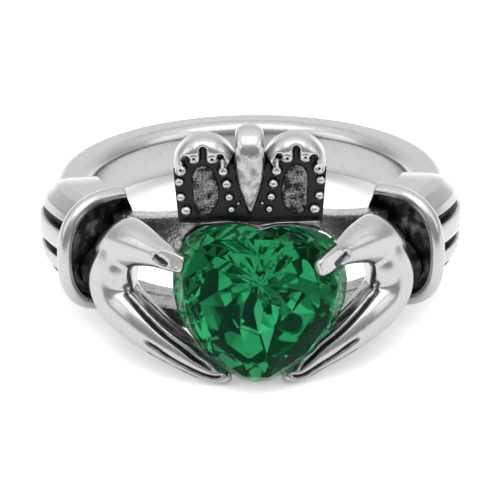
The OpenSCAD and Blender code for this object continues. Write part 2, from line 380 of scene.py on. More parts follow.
def fused(shape: Patch, voxel: float, rounds: int, cut: Patch | None = None) -> tuple[Patch, Array]:
    """One skin round all of a patch's shells, less what is cut away, evened out by averaging neighbours.

    Args:
        shape: overlapping closed shells.
        voxel: size of the cells of the new skin.
        rounds: how many times each vertex is moved half-way to its neighbours' mean.
        cut: shells to take away first.

    Returns:
        The new patch with blank masks, and its vertices' normals.
    """
    made = [placed("fuse", mesh_of("fuse", part)) for part in (shape, cut) if part is not None]
    if cut is not None:
        less = made[0].modifiers.new("less", "BOOLEAN")
        less.operation, less.object, less.solver, less.use_self = "DIFFERENCE", made[1], "EXACT", True
    whole = made[0].modifiers.new("whole", "REMESH")
    whole.mode, whole.voxel_size = "VOXEL", voxel
    even = made[0].modifiers.new("even", "SMOOTH")
    even.factor, even.iterations = 0.5, rounds
    bpy.context.view_layer.update()
    live = made[0].evaluated_get(bpy.context.evaluated_depsgraph_get())
    mesh = live.to_mesh()
    verts, normals = (listed(mesh.vertices, key, float, 3) for key in ("co", "normal"))
    loops = listed(mesh.loops, "vertex_index", int)[:, 0]
    totals = listed(mesh.polygons, "loop_total", int)[:, 0]
    starts = np.r_[0, np.cumsum(totals)[:-1]]
    quads, tris = (loops[starts[totals == count][:, None] + np.arange(count)] for count in (4, 3))
    live.to_mesh_clear()
    for used in made:
        data = used.data
        bpy.data.objects.remove(used)
        bpy.data.meshes.remove(data)
    return patch(verts, quads, tris), normals


@dataclass(frozen=True)
class Pose:
    """How the ring lies: turned about X by lean, then shifted, in millimetres."""

    lean: float
    shift: Array

    @classmethod
    def of_bore(cls, record: dict, height: float) -> "Pose":
        """The pose in which the finger hole's axis lies along its mount.

        Args:
            record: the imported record.
            height: the mount's place along the finger axis in the ring's own frame.

        Returns:
            The pose.
        """
        mount = next(m for m in record["mounts"] if m["name"] == "finger_bore")
        axis = np.array(mount["axis"], float)
        return cls(math.atan2(axis[1], axis[2]), np.array(mount["pos_m"]) * METRE - axis * height)

    def turn(self) -> Array:
        """The turn as a matrix whose rows give the lying frame's axes."""
        c, s = math.cos(self.lean), math.sin(self.lean)
        return np.array([[1, 0, 0], [0, c, s], [0, -s, c]])

    def place(self, points: Array) -> Array:
        """Points of the ring's frame in the lying frame, in metres."""
        return (points @ self.turn().T + self.shift) / METRE


# Finishes


def tint(colour: Colour, share: float = 1.0) -> tuple[float, float, float, float]:
    """A colour darkened or lightened by a share, with full cover."""
    return (*(share * part for part in colour), 1.0)


@dataclass(frozen=True)
class Bench:
    """A node tree, and the few steps in which every finish is mixed there."""

    tree: bpy.types.NodeTree

    def feed(self, node: bpy.types.Node, inputs: dict[str | int, object]) -> bpy.types.Node:
        """Sets a node's inputs.

        Args:
            node: the node.
            inputs: by name or number, what goes into each input: a socket that is linked to it, or a value.

        Returns:
            The same node.
        """
        for key, value in inputs.items():
            if isinstance(value, Socket):
                self.tree.links.new(value, node.inputs[key])
            else:
                node.inputs[key].default_value = value
        return node

    def add(self, kind: str, inputs: dict[str | int, object]) -> bpy.types.Node:
        """A new shader node of one kind with its inputs set."""
        return self.feed(self.tree.nodes.new(f"ShaderNode{kind}"), inputs)

    def mask(self, name: str) -> Socket:
        """What a piece's own attribute says of each point."""
        node = self.add("Attribute", {})
        node.attribute_name = name
        return node.outputs["Fac"]

    def noise(self, scale: float, detail: float = 2.0) -> Socket:
        """A noise pattern on the piece's own coordinates."""
        place = self.add("TexCoord", {}).outputs["Object"]
        return self.add("TexNoise", {"Vector": place, "Scale": scale, "Detail": detail}).outputs["Fac"]

    def ranged(self, source: Socket, given: Pair, wanted: Pair = (0.0, 1.0)) -> Socket:
        """A value carried from one range to another in a straight line, and kept within it."""
        ends = zip(("From Min", "From Max", "To Min", "To Max"), given + wanted)
        return self.add("MapRange", {"Value": source, **dict(ends)}).outputs["Result"]

    def maths(self, operation: str, *values: Socket | float) -> Socket:
        """The outcome of one operation on values or sockets."""
        node = self.add("Math", {})
        node.operation = operation
        return self.feed(node, dict(enumerate(values))).outputs[0]

    def mixed(self, share: Socket, a: Socket | float, b: Socket | float) -> Socket:
        """A value between a and b by a share."""
        return self.add("Mix", {0: share, 2: a, 3: b}).outputs[0]

    def blended(self, share: Socket, a: Socket | tuple, b: Socket | tuple) -> Socket:
        """A colour between a and b by a share."""
        node = self.add("Mix", {})
        node.data_type = "RGBA"
        return self.feed(node, {0: share, 6: a, 7: b}).outputs[2]

    def ramp(self, source: Socket, stops: list[tuple[float, tuple]]) -> Socket:
        """A colour read off a ramp.

        Args:
            source: where on the ramp to read it.
            stops: the ramp's places, from 0 to 1, and their colours.

        Returns:
            The colour.
        """
        node = self.add("ValToRGB", {"Fac": source})
        made = node.color_ramp.elements
        for index, (place, colour) in enumerate(stops):
            stop = made[index] if index < len(made) else made.new(place)
            stop.position, stop.color = place, colour
        return node.outputs["Color"]


def started(name: str) -> tuple[bpy.types.Material, Bench, bpy.types.Node]:
    """Starts a finish.

    Args:
        name: its name.

    Returns:
        A new node material, the bench for its nodes, and its shader.
    """
    material = bpy.data.materials.new(name)
    material.use_nodes = True
    return material, Bench(material.node_tree), material.node_tree.nodes["Principled BSDF"]


@dataclass(frozen=True)
class Steel:
    """Polished steel with oxide and painted shade in its recesses, rough where the casting was left as it
    came.
    """

    name: str = "polished steel"
    colour: Colour = (0.415, 0.415, 0.419)
    # black of the oxide and of the painted shade in grooves and pits
    black: Colour = (0.027, 0.027, 0.028)
    # roughness of the polished metal from its finest to its worst spots, of the rough skin and of the black
    polish: Pair = (0.195, 0.255)
    rough: float = 0.3
    dull: float = 0.42
    # scale and detail of the scratches, of the blots in the black and of the casting's grain
    scratches: Pair = (9000.0, 3.0)
    blots: Pair = (1800.0, 4.0)
    grain: Pair = (5200.0, 6.0)
    # how far the blots move the black's edge, and how much black they bring onto the rough skin
    ragged: float = 0.16
    patchy: float = 0.5
    # part of each noise that is spread out: for the black's edge, its spots, the grain and the scratches
    edge_noise: Pair = (0.35, 0.65)
    spot_noise: Pair = (0.5, 0.68)
    grain_noise: Pair = (0.38, 0.62)
    scratch_noise: Pair = (0.3, 0.7)
    # black (oxide and painted shade) at which the metal starts to be covered and at which nothing of it shows
    cover: Pair = (0.12, 0.72)
    # shade of the rough skin and of the grain on it, as shares of the metal's colour
    cast_shade: float = 0.55
    grain_shade: float = 0.94
    # height of the grain and of the scratches in metres, and how much the scratches show
    grain_height: float = 0.00016
    scratch_height: float = 0.000012
    scratch_share: float = 0.12

    def material(self) -> bpy.types.Material:
        """Builds the finish from the pieces' attributes oxide and cast.

        The black is oxide_and_shade, oxide and painted shade, plus blots that break up its edge, plus other
        blots times cast. Colour and roughness go from the metal's to the black's by how black a point is.

        Returns:
            The material.
        """
        material, bench, shader = started(self.name)
        oxide_and_shade, cast = bench.mask("oxide_and_shade"), bench.mask("cast")
        scratches, blots, grain = (bench.noise(*kind) for kind in (self.scratches, self.blots, self.grain))
        edge = bench.maths("ADD", bench.ranged(blots, self.edge_noise, (-self.ragged, self.ragged)), oxide_and_shade)
        spots = bench.ranged(blots, self.spot_noise, (0.0, self.patchy))
        dark = bench.ranged(bench.maths("MULTIPLY_ADD", spots, cast, edge), self.cover)
        metal = bench.blended(cast, tint(self.colour), tint(self.colour, self.cast_shade))
        grainy = bench.ranged(grain, self.grain_noise)
        metal = bench.blended(grainy, metal, tint(self.colour, self.grain_shade))
        worn = bench.mixed(cast, bench.ranged(scratches, self.scratch_noise, self.polish), self.rough)
        bump = bench.add("Bump", {"Distance": self.grain_height, "Strength": cast, "Height": grain})
        scratch = bench.add("Bump", {"Distance": self.scratch_height, "Strength": self.scratch_share,
                                     "Height": scratches, "Normal": bump.outputs["Normal"]})
        bench.feed(shader, {"Base Color": bench.blended(dark, metal, tint(self.black)),
                            "Metallic": 1.0,
                            "Roughness": bench.mixed(dark, worn, self.dull),
                            "Normal": scratch.outputs["Normal"]})
        return material


@dataclass(frozen=True)
class GreenStone:
    """Clear green cubic zirconia."""

    name: str = "green stone"
    colour: Colour = (0.06, 0.39, 0.2)
    # colour that light takes on inside the stone, and how fast, for each metre
    depth_colour: Colour = (0.03, 0.58, 0.33)
    density: float = 160.0
    # share of the light that goes in rather than being scattered, and how much it is bent
    clear: float = 0.975
    index: float = 2.3
    # tint of what the facets mirror at right angles
    glint: Colour = (0.01, 0.05, 0.03)
    # scale of the slow change of colour over the stone, and how far it goes up and down
    cloud: float = 260.0
    uneven: float = 0.1

    def material(self) -> bpy.types.Material:
        """Builds the glass: a tinted surface, and light that is taken up inside.

        Returns:
            The material.
        """
        material, bench, shader = started(self.name)
        stops = [(place, tint(self.colour, 1 + sign * self.uneven)) for place, sign in ((0, -1), (1, 1))]
        bench.feed(shader, {"IOR": self.index, "Transmission Weight": self.clear, "Roughness": 0.0,
                            "Specular Tint": tint(self.glint),
                            "Base Color": bench.ramp(bench.noise(self.cloud), stops)})
        depth = bench.add("VolumeAbsorption", {"Color": tint(self.depth_colour), "Density": self.density})
        bench.feed(bench.tree.nodes["Material Output"], {"Volume": depth.outputs["Volume"]})
        return material


@dataclass(frozen=True)
class Paper:
    """The pale sheet under the ring. It glows a little: painted light that keeps the ring's shadow on it
    faint.
    """

    name: str = "pale sheet"
    shade: float = 0.95
    # how much the sheet glows: painted light that keeps the ring's shadow on it faint
    glow: float = 0.26
    rough: float = 0.9
    sheen: float = 0.1
    # scale of the barely seen grain, and how far its shade goes up and down
    grain: float = 900.0
    uneven: float = 0.01

    def material(self) -> bpy.types.Material:
        """Builds the matt sheet with its grain and glow.

        Returns:
            The material.
        """
        material, bench, shader = started(self.name)
        white = (1.0, 1.0, 1.0)
        stops = [(place, tint(white, self.shade + sign * self.uneven)) for place, sign in ((0, -1), (1, 1))]
        bench.feed(shader, {"Base Color": bench.ramp(bench.noise(self.grain), stops), "Roughness": self.rough,
                            "Specular IOR Level": self.sheen, "Emission Color": tint(white),
                            "Emission Strength": self.glow})
        return material


@dataclass
class Workshop:
    """Puts finished patches into the scene, each as one piece of the ring."""

    pose: Pose
    steel: bpy.types.Material
    stone: bpy.types.Material

    def piece(self, name: str, shape: Patch, stands_for: str, smooth: bool = True,
              crease: float | None = None) -> None:
        """Makes one piece of the ring.

        Args:
            name: the piece's name.
            shape: its closed shells in the ring's frame.
            stands_for: the solid that it stands for.
            smooth: whether its faces are shaded as one smooth skin.
            crease: angle in degrees past which an edge stays sharp.
        """
        mesh = mesh_of(name, replace(shape, verts=self.pose.place(shape.verts)))
        if smooth:
            mesh.shade_smooth()
        if crease is not None:
            mesh.set_sharp_from_angle(angle=math.radians(crease))
        for key, mask in (("oxide_and_shade", shape.oxide_and_shade), ("cast", shape.cast)):
            layer = mesh.attributes.new(key, "FLOAT", "POINT")
            layer.data.foreach_set("value", np.ascontiguousarray(mask, np.float32))
        made = placed(name, mesh)
        metal = stands_for == "ring_casting"
        mesh.materials.append(self.steel if metal else self.stone)
        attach(made, "root")
        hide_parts(stands_for)
        LOG.info("%s: %d triangles", name, 2 * len(shape.quads) + len(shape.tris))


# The ring's parts


@dataclass
class Band:
    """The plain comfort-fit band, its corners rounded by edge outside and by comfort inside."""

    width: float = 3.1
    thickness: float = 2.4
    edge: float = 0.6
    comfort: float = 0.75
    # height of the outer face's dome, the share of it by which the face's edges are set back, and the depth
    # in the wall from which the dome comes in
    dome: float = 0.12
    sunk: float = 0.8
    domed_from: float = 1.0
    # angle from straight ahead at which the band ends inside a shoulder, in degrees
    end: float = 62.0
    # points on a corner and on a wall of the section, and sections along the band
    corner_points: int = 10
    wall_points: int = 10
    sections: int = 300

    def profile(self) -> Array:
        """The section: a rectangle with quarter-round corners, its outer face domed by a cosine.

        Returns:
            The closed outline (n, 2), radius and height.
        """
        half, outside = self.width / 2, FINGER_R + self.thickness
        corners = [(FINGER_R, -1, -1, self.comfort), (outside, 1, -1, self.edge),
                   (outside, 1, 1, self.edge), (FINGER_R, -1, 1, self.comfort)]
        turn = np.radians(np.linspace(0, 90, self.corner_points))
        arcs = []
        for index, (r, out, up, c) in enumerate(corners):
            a = turn + math.pi + index * math.pi / 2
            arcs.append(np.stack([r - out * c + c * np.cos(a), up * (half - c) + c * np.sin(a)], 1))
        ends = [(arc[-1], after[0]) for arc, after in zip(arcs, arcs[1:] + arcs[:1])]
        walls = [np.linspace(*pair, self.wall_points + 2)[1:-1] for pair in ends]
        outline = np.concatenate([part for pair in zip(arcs, walls) for part in pair])
        outer = fade(outline[:, 0], FINGER_R + self.domed_from, outside)
        outline[:, 0] += outer * self.dome * (np.cos(outline[:, 1] / half * math.pi / 2) - self.sunk)
        return outline

    def build(self, shop: Workshop) -> None:
        """Carries the section round the back of the finger, from inside one shoulder to inside the other."""
        angle = np.radians(np.linspace(self.end, 360 - self.end, self.sections))[:, None]
        shop.piece("band", skin(around(self.profile()[:, 0], -angle, self.profile()[:, 1])), "ring_casting")


@dataclass
class Shoulder:
    """A ribbed sleeve that swells out of the band towards its cuff."""

    # angles from straight ahead at which it starts and ends, in degrees
    start: float = 86.0
    end: float = 53.5
    # outer radius at its highest rib and at its start, and height of its middle at the cuff
    crest: float = 13.25
    first: float = 11.72
    mid: float = -0.65
    # half its height at the cuff and at its start
    tall: float = 2.75
    low: float = 1.42
    # painted shade in the grooves, by depth under the crests: where a groove starts to be black and
    # where it is all black
    rib_groove_shade: Pair = (0.12, 0.34)
    # radius above which a groove can get painted shade, and shares of the length over which that shade comes
    # in
    floor: float = 11.9
    rib_groove_shade_in: Pair = (0.02, 0.2)
    # points round the section, their rounding, sections along the sleeve and how they crowd to its start
    points: int = 420
    soft: float = 0.045
    sections: int = 70
    crowd: float = 1.6
    # section at the cuff and the line over its crests: height and radius
    outline: Array = field(default_factory=lambda: np.array([
        [2.1, 9.3], [2.1, 11.4], [1.95, 12.05], [1.37, 12.75], [0.89, 12.97], [0.85, 12.5], [0.31, 12.53],
        [0.27, 13.1], [-0.05, 13.23], [-0.6, 13.25], [-0.95, 13.13], [-0.99, 12.63], [-1.49, 12.63],
        [-1.53, 13.07], [-1.9, 13.1], [-2.25, 12.99], [-2.53, 12.83], [-2.56, 12.38], [-2.89, 12.28],
        [-2.93, 12.6], [-3.2, 12.3], [-3.4, 11.75], [-3.4, 9.3]]))
    crests: Array = field(default_factory=lambda: np.array([
        [-3.4, 11.9], [-3.2, 12.35], [-2.85, 12.77], [-2.25, 13.01], [-1.15, 13.17], [-0.05, 13.25],
        [0.87, 12.99], [1.37, 12.75], [2.1, 11.5]]))

    def swell(self, share: Array) -> Array:
        """How far the sleeve has risen, a quarter round over the first half of its length."""
        return np.sqrt(1 - (1 - np.minimum(1, share * 2)) ** 2)

    def build(self, shop: Workshop, side: Side) -> None:
        """Carries the section from the band to the cuff.

        Each ring is the full section with its heights and its radii beyond the finger scaled by how far the
        sleeve has risen there. Grooves get painted shade: they are black by how deep they lie under the
        crests' line.

        Args:
            shop: where the piece is made.
            side: the side that it is on.
        """
        height, radius = softened(self.outline, self.points, self.soft).T
        under = np.interp(height, *self.crests.T) - radius
        # painted shade: grooves darker the deeper they lie under the crests
        groove = fade(under, *self.rib_groove_shade) * (radius > self.floor)
        share = np.linspace(0, 1, self.sections) ** self.crowd
        up = self.swell(share)[:, None]
        angle = np.radians(self.start + (self.end - self.start) * share)[:, None]
        tall = (self.low + (self.tall - self.low) * up) / self.tall
        thick = (self.first - FINGER_R + (self.crest - self.first) * up) / (self.crest - FINGER_R)
        out = FINGER_R + (radius - FINGER_R) * thick
        rings = around(out, -angle, self.mid * up + (height - self.mid) * tall)
        black = groove[None] * fade(share, *self.rib_groove_shade_in)[:, None]
        shop.piece(f"shoulder_{side.name.lower()}", skin(rings, black).on(side), "ring_casting")


@dataclass
class Cuff:
    """A round collar with a rolled rim and a black recess round the wrist, square to the finger's edge."""

    # its middle: angle from straight ahead in degrees, distance from the finger's axis, and height
    angle: float = 52.0
    out: float = FINGER_R + 1.27
    height: float = -0.75
    # power that squares its circle, and radii over which the squaring comes in
    power: float = 2.45
    squared: Pair = (0.5, 2.5)
    # how black the recess is, and the heights and radii over which the black goes out to the rim
    black: float = 0.66
    black_floor: Pair = (0.2, 0.42)
    black_wall: Pair = (2.98, 3.1)
    # how far the rim is rounded where it meets the finger hole, and the heights over which that comes in
    ease: float = 0.35
    ease_from: Pair = (2.0, 3.2)
    # points along the section, its rounding in millimetres, and steps round the collar
    points: int = 160
    soft: float = 0.05
    steps: int = 180
    # section through the collar: radius and place along its axis
    profile: Array = field(default_factory=lambda: np.array([
        [0.02, -0.5], [3.0, -0.52], [3.35, -0.46], [3.6, -0.2], [3.7, 0.1], [3.66, 0.38], [3.5, 0.58],
        [3.3, 0.66], [3.12, 0.64], [3.02, 0.52], [2.96, 0.2], [2.9, -0.1], [2.2, -0.14], [0.02, -0.14]]))

    def axes(self) -> tuple[Array, Array]:
        """The left cuff's place.

        Returns:
            Its middle, and its axes as rows: outwards, up, and along the finger's edge to the head.
        """
        a = math.radians(self.angle)
        out = np.array([-math.sin(a), -math.cos(a), 0])
        along = np.array([math.cos(a), -math.sin(a), 0])
        return out * self.out + [0, 0, self.height], np.array([out, [0, 0, 1], along])

    def build(self, shop: Workshop, side: Side) -> None:
        """Turns the profile round the cuff's axis.

        Each radius is divided by the power mean of the direction's cosine and sine, which squares the circle
        a little. What would lie in the finger hole is pushed out to its wall, and further where the rim is
        rounded.

        Args:
            shop: where the piece is made.
            side: the side that it is on.
        """
        outline = softened(self.profile, self.points, self.soft)
        inner = (1 - fade(outline[:, 1], *self.black_floor)) * (1 - fade(outline[:, 0], *self.black_wall))
        shape = revolved(outline, self.steps, self.black * inner)
        radius = np.hypot(shape.verts[:, 0], shape.verts[:, 1]) + 1e-9
        square = (np.abs(shape.verts[:, :2] / radius[:, None]) ** self.power).sum(1) ** (-1 / self.power)
        shape.verts[:, :2] *= (1 + (square - 1) * fade(radius, *self.squared))[:, None]
        middle, axes = self.axes()
        shape.verts = shape.verts @ axes + middle
        reach = np.hypot(shape.verts[:, 0], shape.verts[:, 1])
        eased = FINGER_R + self.ease * fade(np.abs(shape.verts[:, 2] - self.height), *self.ease_from)
        shape.verts[:, :2] *= np.maximum(1, eased / np.maximum(reach, 1e-6))[:, None]
        shop.piece(f"cuff_{side.name.lower()}", shape.outward().on(side), "ring_casting")


@dataclass(frozen=True)
class Groove:
    """A groove along a line on the skin, given by its half width, depth and points."""

    width: float
    depth: float
    points: tuple[Point, ...]


@dataclass
class Hand:
    """A hand that comes out of its cuff: wrist, palm, thumb and a sheaf of fingers parted by grooves."""

    cuff: Cuff
    # cells of the fused skin, rounds of evening it out, points round a limb and how square a limb is
    voxel: float = 0.064
    rounds: int = 80
    points: int = 48
    squarer: float = 0.85
    # palm and fingers from top to tip, thumb from root to tip, and the web that fills the crotch between:
    # distance from the middle, reach ahead of the finger hole, height, half width, half depth
    body: Array = field(default_factory=lambda: np.array([
        [6.75, 1.45, 1.95, 0.45, 0.55], [7.1, 1.15, 1.3, 0.9, 1.1], [7.85, 0.65, 0.2, 1.07, 1.42],
        [8.15, 0.45, -1.3, 1.25, 1.5], [7.75, 0.9, -2.6, 1.3, 1.45], [6.6, 1.98, -3.48, 1.3, 1.4],
        [5.35, 2.75, -4.3, 1.15, 1.3], [4.15, 3.25, -5.0, 1.0, 1.15], [2.95, 3.65, -5.75, 0.8, 0.95],
        [2.05, 3.9, -6.2, 0.58, 0.7], [1.4, 4.05, -6.4, 0.42, 0.5], [1.18, 4.1, -6.45, 0.2, 0.25]]))
    thumb: Array = field(default_factory=lambda: np.array([
        [8.3, -0.1, 0.3, 1.4, 1.3], [7.5, 0.85, 0.95, 1.6, 1.35], [6.6, 1.95, 1.12, 1.28, 1.2],
        [5.5, 3.3, 1.13, 0.87, 0.88], [4.7, 4.3, 1.1, 0.72, 0.66], [4.1, 4.9, 1.03, 0.62, 0.52],
        [3.75, 5.2, 0.98, 0.5, 0.42]]))
    web: Array = field(default_factory=lambda: np.array([
        [8.1, 0.4, -0.85, 1.2, 1.2], [7.7, 0.75, -0.85, 1.6, 1.4], [7.3, 0.92, -0.85, 1.6, 1.33],
        [7.0, 0.97, -0.9, 1.4, 1.15], [6.8, 1.0, -0.9, 1.05, 0.8]]))
    # sections along the palm and fingers, along the thumb, along the web and along the wrist
    sections: tuple[int, int, int, int] = (120, 60, 30, 14)
    # wrist in the cuff's axes: ahead, outwards, up, half width outwards and upwards
    wrist: Array = field(default_factory=lambda: np.array([
        [-0.3, -0.5, -0.75, 2.65, 2.2], [0.5, -0.35, -0.7, 2.6, 2.2], [1.5, 0.75, -0.6, 1.7, 2.05],
        [2.7, 1.1, -0.55, 1.25, 1.75]]))
    # between the first two fingers, between the last two, under the last, on the inner flank, beside the nail
    # and over the thumb's tip
    grooves: tuple[Groove, ...] = (
        Groove(0.125, 0.25, ((7.33, 1.95, -1.44), (7.01, 2.35, -1.97), (6.54, 2.93, -2.47),
                             (5.72, 3.56, -3.22), (5.0, 3.94, -3.8), (4.05, 4.25, -4.47),
                             (3.34, 4.43, -5.03), (2.77, 4.47, -5.38), (2.3, 4.53, -5.77))),
        Groove(0.12, 0.22, ((6.29, 3.75, -4.17), (5.59, 4.03, -4.58), (4.78, 4.24, -5.13),
                            (3.93, 4.42, -5.59), (3.12, 4.54, -5.97), (2.5, 4.56, -6.2),
                            (2.01, 4.57, -6.25), (1.68, 4.52, -6.1))),
        Groove(0.09, 0.1, ((6.2, 3.5, -4.9), (5.33, 3.8, -5.4), (4.62, 4.0, -5.75),
                           (3.9, 4.2, -6.05), (3.15, 4.3, -6.38))),
        Groove(0.07, 0.1, ((6.45, 1.72, -2.0), (6.0, 2.15, -2.4), (5.4, 2.55, -2.9),
                           (4.7, 2.9, -3.45), (4.0, 3.15, -3.95), (3.4, 3.35, -4.45))),
        Groove(0.2, 0.26, ((5.64, 4.31, 1.3), (5.38, 4.56, 1.12), (5.12, 4.79, 0.96), (4.9, 4.95, 0.8))),
        Groove(0.07, 0.12, ((4.1, 5.3, 1.5), (4.12, 5.45, 1.25), (4.25, 5.4, 0.95), (4.4, 5.25, 0.7))),
    )
    # samples along a groove, share of its length over which it runs out, the square of what is left of it at
    # its ends, and how black its floor is painted as shade
    samples: int = 160
    run_out: float = 0.18
    left_over: float = 0.02
    groove_floor_shade: float = 1.15
    # three corners of the thumb's flat nail, its radius and the softness of its edge
    nail: Array = field(default_factory=lambda: np.array([
        [4.95, 4.64, 1.6], [4.15, 5.2, 1.42], [4.66, 5.02, 0.75]]))
    nail_r: float = 0.85
    nail_soft: float = 0.12
    # plane of the corner by the cuff: its direction, its distance from the middle, its edge's softness and
    # the share of what stands past it that goes
    facing: Point = (-0.707, 0.234, 0.667)
    facing_at: float = 4.85
    facing_soft: float = 0.65
    facing_cut: float = 0.9
    # gap that the hand keeps to the finger hole's wall, and the lengths along the cuff's axis over which its
    # black goes out
    gap: float = 0.15
    sleeve: Pair = (-0.15, 0.15)
    # how far the right thumb's end comes forward to the stone, the distances from the middle between which
    # that fades out and the heights between which it comes in
    thumb_lift: float = 0.85
    lift_x: Pair = (3.9, 5.6)
    lift_z: Pair = (-0.3, 0.3)
    # how far the right fingertips go outwards, the distances from the middle between which that fades out and
    # the depths under the middle between which it comes in
    tip_shift: float = 0.5
    shift_x: Pair = (1.6, 4.2)
    shift_z: Pair = (3.0, 4.5)

    def limb(self, table: Array, sections: int) -> Patch:
        """One limb of the left hand.

        Each ring is the rounded section scaled by the table's half width and half depth, set square to the
        limb's path, with its depth pointing away from the finger.

        Args:
            table: the limb's rows.
            sections: number of rings.

        Returns:
            The limb as a closed solid.
        """
        path = spline(table, sections)
        section = round_section(self.points, self.squarer)
        at = reached(path)
        along = np.gradient(at, axis=0)
        along /= np.linalg.norm(along, axis=1, keepdims=True)
        across = np.cross(along, at * [1, 1, 0])
        across /= np.linalg.norm(across, axis=1, keepdims=True)
        out = np.cross(across, along)
        return skin(at[:, None] + across[:, None] * path[:, None, 3:4] * section[None, :, :1]
                    + out[:, None] * path[:, None, 4:5] * section[None, :, 1:])

    def stem(self, sections: int) -> Patch:
        """The wrist: ellipses square to the cuff's axis, from inside the recess into the palm.

        Args:
            sections: number of ellipses.

        Returns:
            The wrist as a closed solid.
        """
        middle, axes = self.cuff.axes()
        path = spline(self.wrist, sections)[:, None]
        spots = path[..., 1:3] + round_section(self.points, 1.0) * path[..., 3:]
        return skin(middle + spots @ axes[:2] + path[..., :1] * axes[2])

    def engraved(self, shape: Patch, normals: Array) -> Patch:
        """Presses each groove into the skin: its depth times a bell curve of the distance to its line.

        Args:
            shape: the hand's skin.
            normals: its vertices' normals.

        Returns:
            The skin with its grooves, painted black along their floors as shade.
        """
        verts, black = shape.verts, np.zeros(len(shape.verts))
        for groove in self.grooves:
            away, share = nearest(verts, reached(spline(groove.points, self.samples)))
            ends = np.sqrt(fade(0.5 - np.abs(share - 0.5), 0, self.run_out) + self.left_over)
            bell = np.exp(-((away / groove.width) ** 2)) * ends
            verts = verts - normals * (groove.depth * bell)[:, None]
            # painted shade along each groove's floor
            black = np.maximum(black, self.groove_floor_shade * bell)
        return replace(shape, verts=verts, oxide_and_shade=black)

    def bevelled(self, verts: Array) -> Array:
        """Planes the corner between the thumb's root and the cuff.

        What is past the plane goes back towards it, with a soft edge: the logarithm of 1 plus e to the
        distance over the softness.

        Args:
            verts: the skin's vertices.

        Returns:
            The vertices after planing.
        """
        facing, soft = np.array(self.facing), self.facing_soft
        past = soft * np.logaddexp(0, (verts @ facing - self.facing_at) / soft)
        return verts - facing * (self.facing_cut * past)[:, None]

    def flattened(self, verts: Array) -> Array:
        """Files the thumb's nail flat: near its middle, what stands proud of its corners' plane is cut back.

        Args:
            verts: the skin's vertices.

        Returns:
            The vertices after filing.
        """
        a, b, c = reached(self.nail)
        up = np.cross(b - a, c - a)
        up *= -np.sign(up[1]) / np.linalg.norm(up)
        mid = (a + b + c) / 3
        proud = np.maximum(0, (verts - mid) @ up)
        near = fade(self.nail_r - np.linalg.norm(verts - mid, axis=1), 0, self.nail_soft)
        return verts - up * (proud * near)[:, None]

    def left(self) -> Patch:
        """The left hand as one skin, kept out of the finger hole and black in the cuff's recess.

        Returns:
            The hand, for both sides.
        """
        *limbs, wrist = self.sections
        tables = (self.body, self.thumb, self.web)
        parts = [self.stem(wrist)] + [self.limb(table, count) for table, count in zip(tables, limbs)]
        shape, normals = fused(joined(parts), self.voxel, self.rounds)
        reach = np.hypot(shape.verts[:, 0], shape.verts[:, 1])
        shape.verts[:, :2] *= np.maximum(1, (FINGER_R + self.gap) / reach)[:, None]
        shape.verts = self.flattened(self.bevelled(shape.verts))
        shape = self.engraved(shape, normals)
        middle, axes = self.cuff.axes()
        inside = 1 - fade((shape.verts - middle) @ axes[2], *self.sleeve)
        return replace(shape, oxide_and_shade=np.clip(np.maximum(shape.oxide_and_shade, inside), 0, 1))

    def settled(self, verts: Array) -> Array:
        """The right hand as it holds the stone, which sits right of the middle.

        The thumb's end comes forward and the fingertips go outwards, both fading out towards the palm.

        Args:
            verts: the vertices of the left hand's mirror image.

        Returns:
            The vertices after the move.
        """
        x, y, z = verts.T
        thumb = (1 - fade(x, *self.lift_x)) * fade(z, *self.lift_z)
        tips = (1 - fade(x, *self.shift_x)) * fade(-z, *self.shift_z)
        return np.stack([x + self.tip_shift * tips, y - self.thumb_lift * thumb, z], 1)

    def build(self, shop: Workshop, side: Side, left: Patch) -> None:
        """Puts one hand in its place.

        Args:
            shop: where the piece is made.
            side: the side that it is on.
            left: the left hand's skin.
        """
        shape = left.on(side)
        if side is Side.RIGHT:
            shape.verts = self.settled(shape.verts)
        shop.piece(f"hand_{side.name.lower()}", shape, "ring_casting")


